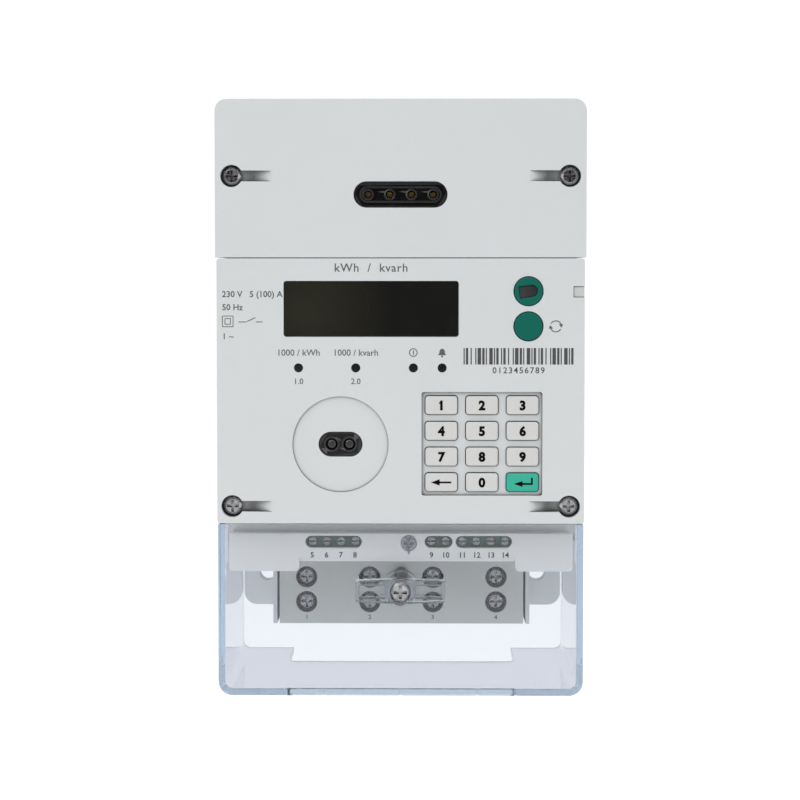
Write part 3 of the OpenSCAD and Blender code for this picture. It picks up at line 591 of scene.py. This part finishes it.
def barcode(ink, x0, x1, z0, z1):
    """Bars and gaps whose widths repeat a plain count, which stands for no real number."""
    counts = [1, 1, 2, 2, 1, 3, 1, 1, 3, 1, 2, 1, 1, 2, 3, 1, 1, 1, 2, 2]
    bars_and_gaps = 59
    widths = [counts[i % len(counts)] for i in range(bars_and_gaps)]
    unit = (x1 - x0) / sum(widths)
    x = x0
    for i, width in enumerate(widths):
        is_bar = i % 2 == 0
        if is_bar:
            ink.rectangle(x, x + width * unit, z0, z1)
        x += width * unit


def front_print():
    """Unit signs, pictograms and a plain bar code on the front cover."""
    face = front_of("front_cover")
    leds = centres("led_lenses")
    scroll = centre("scroll_button")
    ink = Print(face)
    ratings(ink)
    led_labels(ink, leds)
    turn_arrow(ink.at(scroll.x, scroll.z), 9.6, 0)
    ink.finish("front_print", "case", PRINT_INK, "block_plastic")
    code = Print(face).at(cad_high.x - 4.4 * MM, leds[0].z)
    barcode(code, -38.5, 0, 1.2, 7)
    code.text("0123456789", -19.2, -0.8, 2.1, 0.015, spacing=1.25)
    code.finish("code_print", "case", CODE_INK, "block_plastic")


def terminal_numbers():
    """Numbers under the main terminals and the auxiliary ones."""
    block = Print(front_of("terminal_block"))
    screws = centres("terminal_screws")
    low_row = min(screw.z for screw in screws)
    columns = sorted({round(screw.x, 4) for screw in screws})
    for number, x in enumerate(columns, 1):
        block.at(x, low_row).text(str(number), 0, -5.6, 1.5, 0.02)
    block.finish("block_numbers", "case", KEY_INK, "black_plastic")
    shelf = Print(front_of("terminal_shelf"))
    for number, way in enumerate(centres("aux_screws"), len(columns) + 1):
        shelf.at(way.x, way.z).text(str(number), 0, -4.4, 1.9, 0.03)
    shelf.finish("shelf_numbers", "case", KEY_INK, "black_plastic")


key_legends()
front_print()
terminal_numbers()


# ---------------------------------------------------------------- studio

def area_light(name, place, target, size, power):
    light = bpy.data.lights.new(name, "AREA")
    light.shape = "SQUARE"
    light.size = size
    light.energy = power
    lamp = bpy.data.objects.new(name, light)
    lamp.location = place
    lamp.rotation_euler = (Vector(target) - Vector(place)).to_track_quat("-Z", "Y").to_euler()
    bpy.context.scene.collection.objects.link(lamp)


def plane(name, corners, finish):
    mesh = bpy.data.meshes.new(name)
    mesh.from_pydata(corners, [], [tuple(range(len(corners)))])
    mesh.materials.append(finish.material)
    sheet = bpy.data.objects.new(name, mesh)
    bpy.context.scene.collection.objects.link(sheet)
    return sheet


def studio():
    """A white floor and sky, a soft key from the upper left and a dark card behind the camera."""
    half = 3.0
    floor_z = cad_low.z - 0.12
    plane("floor", [(x, y, floor_z) for x, y in corners(-half, half, -half, half)], FLOOR)
    card_y = -1.6
    card = plane("dark_card", [(x, card_y, z) for x, z in corners(-0.9, 0.9, -0.1, 1.0)], CARD)
    card.visible_camera = False
    world = bpy.data.worlds.new("studio")
    world.use_nodes = True
    background = world.node_tree.nodes["Background"]
    background.inputs["Color"].default_value = (1.0, 1.0, 1.0, 1.0)
    background.inputs["Strength"].default_value = 1.03
    bpy.context.scene.world = world
    area_light("key", (-0.9, -1.0, 1.1), (0, 0, 0), 0.9, 5)
    area_light("top", (0.2, -0.2, 1.6), (0, 0, 0), 1.4, 8)
    bpy.context.scene.view_settings.view_transform = "Standard"
    bpy.context.scene.view_settings.exposure = 0.0
    # Light runs along the clear cover's walls by many inner reflections.
    bpy.context.scene.cycles.glossy_bounces = 12


def camera():
    """Straight in front and a little above the middle, with a long lens."""
    data = bpy.data.cameras.new("camera")
    data.sensor_width = 36
    data.lens = 77.1
    data.shift_y = -0.0855
    eye = bpy.data.objects.new("camera", data)
    distance = 0.6
    tilt = math.radians(2.0)
    turn = math.radians(0.58)
    eye.location = (0.0059, front_of("front_cover") - distance, 0.0446)
    eye.rotation_euler = (math.pi / 2 - tilt, 0, turn)
    bpy.context.scene.collection.objects.link(eye)
    bpy.context.scene.camera = eye


studio()
camera()
bpy.context.view_layer.update()
